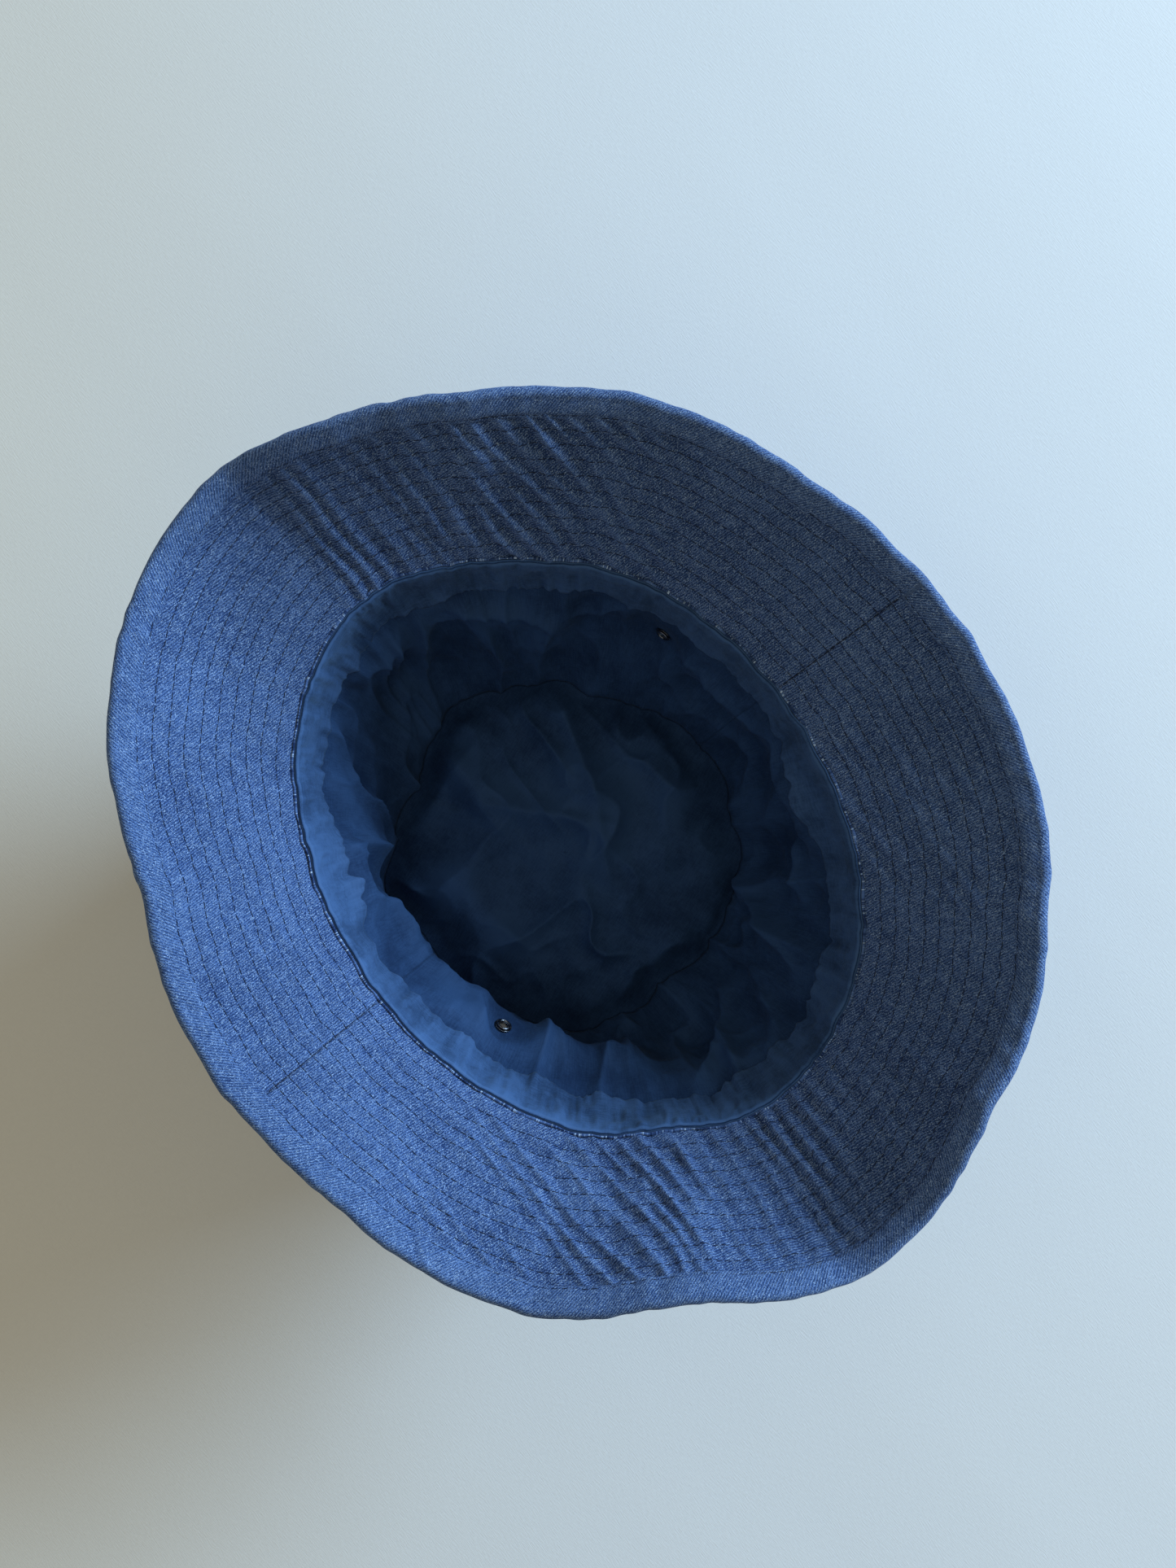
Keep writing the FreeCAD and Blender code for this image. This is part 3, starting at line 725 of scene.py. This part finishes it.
HEIGHTS = np.concatenate([np.arange(DENIM, OPENING, 1.0), [OPENING]])
for half, start, end in HALVES:
    columns = round_the_oval(start, end, 1.0)
    u, z = np.meshgrid(columns, HEIGHTS)
    crumple = 0.45 * ring_noise(u, 3.0, z / 9, 51) + 0.2 * ring_noise(u, 1.4, z / 3, 52)
    ring = 0.4 * np.exp(-((z - TIP_ROW) / 0.7) ** 2)
    seam = from_seam(u) * 1.4
    marks = crumple * calm(u, z) - ring - 0.45 * np.exp(-(seam / 0.8) ** 2)
    outer = wall(u, z, 0.0, -marks * soft(z, 0, 3))
    inner = wall(u, z, DENIM)
    cloth = flat_cloth(z, u * WALL_DEGREE, 88 if half == "front" else 91)
    holes = [(wall_frame(at, VENT_UP, 0.0)[0], VENT_HOLE) for _, at in VENTS]
    # Crumples are lighter as rubbed wear; the tip seam's groove and the side seams are darker as painted
    # shade.
    piece = shell(f"crown_wall_{half}", outer, inner, OUTER, [f"crown_side_{half}"],
                  cloth, np.clip(0.55 + marks * 0.4, 0, 1), holes=holes)
    sheets.append((piece, "draped", None))

    rows = np.concatenate([np.arange(LINING_TOP, OPENING, 0.9), [OPENING]])
    u, z = np.meshgrid(columns, rows)
    folds = lining_folds(u, z) * calm(u, z)
    facing = wall(u, z, LINING_DEPTH + LINING_PLY, folds)
    behind = wall(u, z, LINING_DEPTH, folds)
    cloth = flat_cloth(z, u * WALL_DEGREE, 0)[:, ::-1]
    holes = [(wall_frame(at, VENT_UP, LINING_DEPTH + LINING_PLY)[0], VENT_HOLE) for _, at in VENTS]
    # Folds standing in are lighter as rubbed wear and the cloth between them darker as painted shade.
    piece = shell(f"lining_wall_{half}", facing[:, ::-1], behind[:, ::-1], LINING,
                  [f"lining_side_{half}"], cloth, np.clip(0.25 + folds[:, ::-1] * 0.09, 0, 1), holes=holes)
    sheets.append((piece, "draped", None))


def tip_grid(edge, rise):
    """A round grid out to an edge given as points. rise takes x, y and the share of the way out."""
    shares = np.concatenate([[0.002], np.linspace(0.0, 1.0, 75)[1:]])
    middle = np.array([-9.0, -2.0, 0.0])
    flat = edge - middle
    grid = middle + shares[:, None, None] * flat[None]
    grid[..., 2] = shares[:, None] ** 8 * edge[None, :, 2]
    grid[..., 2] += rise(grid[..., 0], grid[..., 1], shares[:, None])
    return grid


def tip_rise(x, y, share):
    """Soft folds of the lining's tip."""
    height = line_fold(x, y, -21, 60, -22, 32, 6, 6.5) + line_fold(x, y, -22, 32, 12, -4, 5.5, 5.0, True)
    height += line_fold(x, y, 26, 50, 15, 10, 5, 6.0, True) + line_fold(x, y, 15, 10, -3, -22, 5, 4.6, True)
    height += line_fold(x, y, 42, -46, 6, -66, 4, 6.0, True) + line_fold(x, y, -54, 22, -46, -30, 9, 4.0)
    height += line_fold(x, y, -40, 44, -12, 52, 5, 4.0, True) + line_fold(x, y, 44, 8, 30, -30, 7, 3.0)
    sway = 0.5 * noise(x / 19, y / 19, 65)
    height += 3.2 * creased(noise(x / 26 + sway, y / 34, 61), noise(x / 13, y / 17 + sway, 62))
    height += 0.4 * noise(x / 4, y / 6, 64)
    return (height + 5.0 * soft(share, 1.0, 0.45)) * soft(share, 1.0, 0.82)


columns = round_the_oval(0, 360, 1.2)[:-1]
edge = wall(columns, 0 * columns + DENIM, DENIM * 0.5)
edge[:, 2] = DENIM
crown = tip_grid(edge, lambda x, y, s: 0.35 * np.clip(noise(x / 14, y / 14, 63), 0, 1) * (1 - s))
under_side = crown.copy()
under_side[..., 2] = np.maximum(crown[..., 2] - DENIM, 0.0)


def cap(name, top, bottom, material, stands_for, wear_and_shade, turn):
    """A tip made from two round grids."""
    cloth = flat_cloth(top[..., 0], top[..., 1], turn)
    return shell(name, bottom, top, material, stands_for, cloth, wear_and_shade, wrap=True)


tip = cap("crown_tip_cloth", crown, under_side, OUTER, ["crown_tip"], 0.55, 3.0)
sheets.append((tip, "laid", None))
level = 0 * columns + LINING_TOP
edge = wall(columns, level, LINING_DEPTH + LINING_PLY / 2, lining_folds(columns, level))
edge[:, 2] = LINING_TOP
inside = tip_grid(edge, lambda x, y, s: LINING_TOP * (1 - s**8) + tip_rise(x, y, s))
below = inside.copy()
below[..., 2] -= LINING_PLY
# Raised parts of the tip lining are lighter as rubbed wear, and its low edge by the wall darker as painted
# shade.
lining_tip = cap("lining_tip_cloth", inside, below, LINING, ["lining_tip"],
                 np.clip(0.25 + (inside[..., 2] - LINING_TOP) * 0.07, 0, 1), 20.0)
sheets.append((lining_tip, "draped", tip))


def band():
    """The sweatband: a soft strip down the wall, its top turned over the raw edges to the brim."""
    columns = round_the_oval(0, 360, 0.8)[:-1]
    bend = np.linspace(0.2, 1.0, 7) * math.pi / 2
    hang = np.linspace(BAND_FOOT, OPENING - 1.2, 44)
    rows = np.concatenate([hang, OPENING - 1.2 + 1.1 * np.sin(bend)])
    turn = np.concatenate([0 * hang, 1 - np.cos(bend)])
    u, z = np.meshgrid(columns, rows)
    uneven = 1 + 0.10 * ring_noise(u, 8, 0 * u, 75) + 0.05 * ring_noise(u, 3, 0 * u, 76)
    z = OPENING - (OPENING - z) * uneven
    over = turn[:, None] * 1.3
    low = soft(z, OPENING - 4, BAND_FOOT)
    ruffle = 0.9 * ring_noise(u, 2.4, z / 22, 71) + 0.7 * ring_noise(u, 1.1, z / 12, 72)
    ruffle += 0.8 * ring_noise(u, 7, z / 30, 73)
    folds = lining_folds(u, z) * 0.8
    pinched = 0.5 * (1 - 2 * np.abs(ring_noise(u, 1.6, z / 11, 74))) * soft(z, OPENING, OPENING - 3)
    stand = (0.20 + 0.35 * low) * (0.7 + ruffle) * soft(z, OPENING + 0.5, OPENING - 4)
    stand = stand + folds + 0.3 * low + pinched
    base = LINING_DEPTH + 0.5
    facing = wall(u, z, base + BAND_PLY - over, stand)
    behind = wall(u, z, base - over, stand)
    behind[..., 2] -= 0.5 * turn[:, None]
    cloth = flat_cloth(u * WALL_DEGREE, z, 0)
    # Ruffle crests and the turned-over top are lighter as rubbed wear, and the hollows between ruffles darker
    # as painted shade.
    wear_and_shade = np.clip(0.45 + 0.25 * ruffle[:, ::-1] + 0.25 * (turn[:, None] > 0), 0, 1)
    return shell("sweatband_strip", facing[:, ::-1], behind[:, ::-1], BAND, ["sweatband"],
                 cloth[:, ::-1], wear_and_shade, wrap=True)


sheets.append((band(), "gathered", None))

# ---------------------------------------------------------------- stitches


def around_brim(out, depth, face):
    """A row of stitches round the brim, as a line for stitches()."""
    fine = np.linspace(0, 360, 3000)
    way = distances(brim(fine, out, depth))

    def line(along, lift):
        u = np.interp(along, way, fine)
        height = relief(u, out + 0 * u, face) if out < FIRST_ROW - 1 else 0 * u
        wander = 0.25 * ring_noise(u, 3, 0 * u + out, 81)
        return brim(u, out + wander, depth, face * (height + lift + 0.02))

    return line, way[-1]


def rows_of(face):
    """The rows round the brim on one face. The first one lies on the binding, sunk into it."""
    runs = []
    for row in range(ROWS):
        out = FIRST_ROW - row * PITCH
        cover = BINDING + GAP + 0.02 - 0.35 if row == 0 else 0.0
        depth = -cover if face > 0 else PLIES + cover
        line, total = around_brim(out, depth, face)
        runs.append((line, total, 2.9))
    return runs


def across_brim(at, face):
    """Stitches along a side seam of the brim."""
    def line(along, lift):
        out = along + 1.0
        u = at + 0 * out
        return brim(u, out, 0.0 if face > 0 else PLIES, face * (relief(u, out, face) + lift + 0.1))

    return line, BRIM - BINDING_WIDTH - 2.0, 2.4


def around_wall(z, depth):
    """Stitches round the crown wall at one height."""
    fine = np.linspace(0, 360, 2000)
    way = distances(wall(fine, z + 0 * fine, depth))

    def line(along, lift):
        u = np.interp(along, way, fine)
        return wall(u, z + 0 * u, depth, -(lift - 0.25))

    return line, way[-1], 3.2


def at_opening():
    """Stitches round the opening, where the brim is sewn on."""
    fine = np.linspace(0, 360, 3000)
    way = distances(brim(fine, 0.0, 0.0))

    def line(along, lift):
        u = np.interp(along, way, fine)
        return brim(u, -1.0 + 0 * u, 0.05, lift)

    return line, way[-1], 2.6


def up_wall(at):
    """Stitches along a side seam of the crown."""
    def line(along, lift):
        z = along + 8.0
        return wall(at + 0 * z, z, 0.0, -(lift - 0.28))

    return line, OPENING - 16.0, 3.0


stitch_rows("needle_stitches", rows_of(1), SEWING, ["brim_needle_threads"])
stitch_rows("bobbin_stitches", rows_of(-1), SEWING, ["brim_bobbin_threads"])
stitch_rows("brim_seam_stitches", [across_brim(0.0, 1), across_brim(180.0, 1)], SEWING, ["brim_seam_threads"])
stitch_rows("tip_stitches", [around_wall(TIP_ROW, 0.0)], SEWING, ["crown_tip_threads"])
stitch_rows("opening_stitches", [at_opening()], SEWING, ["opening_threads"], skip=0.12, thick=0.17)
stitch_rows("crown_seam_stitches", [up_wall(0.0), up_wall(180.0)], SEWING, ["crown_seam_threads"])

# ---------------------------------------------------------------- eyelets


def turned(name, profile, at, stands_for):
    """A ring turned about the wall's outward direction. profile lists (radius, out)."""
    spot, normal = wall_frame(at, VENT_UP, 0.0)
    side = np.cross([0, 0, 1], normal)
    side /= np.linalg.norm(side)
    other = np.cross(normal, side)
    turns = 40
    angle = np.arange(turns) * 2 * math.pi / turns
    profile = np.array(profile)
    ring = np.cos(angle)[:, None] * side + np.sin(angle)[:, None] * other
    points = spot + profile[None, :, :1] * ring[:, None] + profile[None, :, 1:] * normal
    index = np.arange(turns * len(profile)).reshape(turns, len(profile))
    ahead = np.roll(index, -1, 0)
    faces = np.stack([index, ahead, np.roll(ahead, -1, 1), np.roll(index, -1, 1)], -1).reshape(-1, 4)
    return make(name, points.reshape(-1, 3), faces.tolist(), NICKEL, stands_for=[stands_for])


def arc(middle, radius, start, end, count):
    """Points of an arc from one angle to another."""
    return [(middle[0] + radius * math.cos(math.radians(a)), middle[1] + radius * math.sin(math.radians(a)))
            for a in np.linspace(start, end, count)]


# Sections of an eyelet and its washer as (radius, out from the crown's face).
CLOTH_BACK = LINING_DEPTH + LINING_PLY + 0.35
EYELET = [(1.6, -CLOTH_BACK - 0.45)] + arc((2.05, -CLOTH_BACK - 0.45), 0.45, 180, 360, 9)
EYELET += [(1.9, -CLOTH_BACK - 0.3), (1.9, 0.12), (3.45, 0.12)]
EYELET += arc((3.35, 0.25), 0.15, -60, 90, 5) + [(2.9, 0.55), (2.3, 0.72)]
EYELET += arc((1.95, 0.45), 0.33, 70, 180, 6)
WASHER = [(2.0, -CLOTH_BACK)] + arc((3.0, -CLOTH_BACK - 0.08), 0.1, 90, -90, 5) + [(2.0, -CLOTH_BACK - 0.25)]
for corner, at in VENTS:
    turned(f"vent_eyelet_{corner}", EYELET, at, f"eyelet_{corner}")
    turned(f"vent_washer_{corner}", WASHER, at, f"washer_{corner}")

# ---------------------------------------------------------------- floor, light and camera


def floor():
    """The pale sheet under the hat, with painted warm light towards the left of the view."""
    mesh = bpy.data.meshes.new("floor")
    half = 3.0
    corners = [(-half, -half, 0), (half, -half, 0), (half, half, 0), (-half, half, 0)]
    mesh.from_pydata(corners, [], [(0, 1, 2, 3)])
    piece = bpy.data.objects.new("floor", mesh)
    bpy.context.scene.collection.objects.link(piece)
    look = Look("pale_sheet")
    place = look.node("ShaderNodeTexCoord").outputs["Object"]
    weft = look.noise(look.stretch(place, (350, 2600, 1), 38), 1.0, 2.0)
    warp = look.noise(look.stretch(place, (2600, 350, 1), 38), 1.0, 2.0)
    wrinkle = look.noise(look.stretch(place, (7, 3, 1), 20), 1.0, 3.0, 0.45)
    threads = look.maths("MULTIPLY", look.maths("ADD", weft, warp), 0.35)
    tone = look.maths("MULTIPLY_ADD", wrinkle, 0.3, threads)
    colour = look.mix(look.between(tone, 0.2, 0.8), (0.68, 0.69, 0.69, 1), (0.74, 0.75, 0.74, 1))
    split = look.node("ShaderNodeSeparateXYZ")
    look.put(place, split.inputs[0])
    # Painted warm light: the sheet's colour turns warmer towards the view's left, standing in for warm room
    # light on that side.
    drift = look.maths("MULTIPLY", split.outputs["Y"], -0.62)
    drift = look.maths("MULTIPLY_ADD", split.outputs["X"], 0.79, drift)
    painted_warm_light = look.mix(1.0, colour, (1.0, 0.94, 0.84, 1), "MULTIPLY")
    colour = look.mix(look.between(drift, -0.30, 0.05), painted_warm_light, colour)
    height = look.maths("MULTIPLY_ADD", wrinkle, 14.0, look.maths("ADD", weft, warp))
    look.bump(height, 0.25, 0.00025)
    mesh.materials.append(look.finish(colour, look.between(tone, 0.2, 0.8, 0.9, 0.8)))


def area_light(name, place, aim, size, power, colour):
    data = bpy.data.lights.new(name, "AREA")
    data.shape = "RECTANGLE"
    data.size, data.size_y = size
    data.energy = power
    data.color = colour
    lamp = bpy.data.objects.new(name, data)
    lamp.location = place
    lamp.rotation_euler = (Vector(aim) - Vector(place)).to_track_quat("-Z", "Y").to_euler()
    bpy.context.scene.collection.objects.link(lamp)


floor()
area_light("window", (2.35, -0.36, 0.96), (0.0, 0.0, 0.07), (1.2, 1.0), 140.0, (0.45, 0.66, 0.90))
world = bpy.data.worlds.new("room")
world.use_nodes = True
world.node_tree.nodes["Background"].inputs["Color"].default_value = (0.40, 0.385, 0.325, 1)
world.node_tree.nodes["Background"].inputs["Strength"].default_value = 1.0
bpy.context.scene.world = world
bpy.context.scene.view_settings.view_transform = "Standard"

camera_data = bpy.data.cameras.new("camera")
camera_data.lens = 27.05
camera_data.sensor_width = 36
camera = bpy.data.objects.new("camera", camera_data)
camera.location = (0.0142, 0.0133, 0.462)
camera.rotation_euler = (0, 0, math.radians(-38))
bpy.context.scene.collection.objects.link(camera)
bpy.context.scene.camera = camera
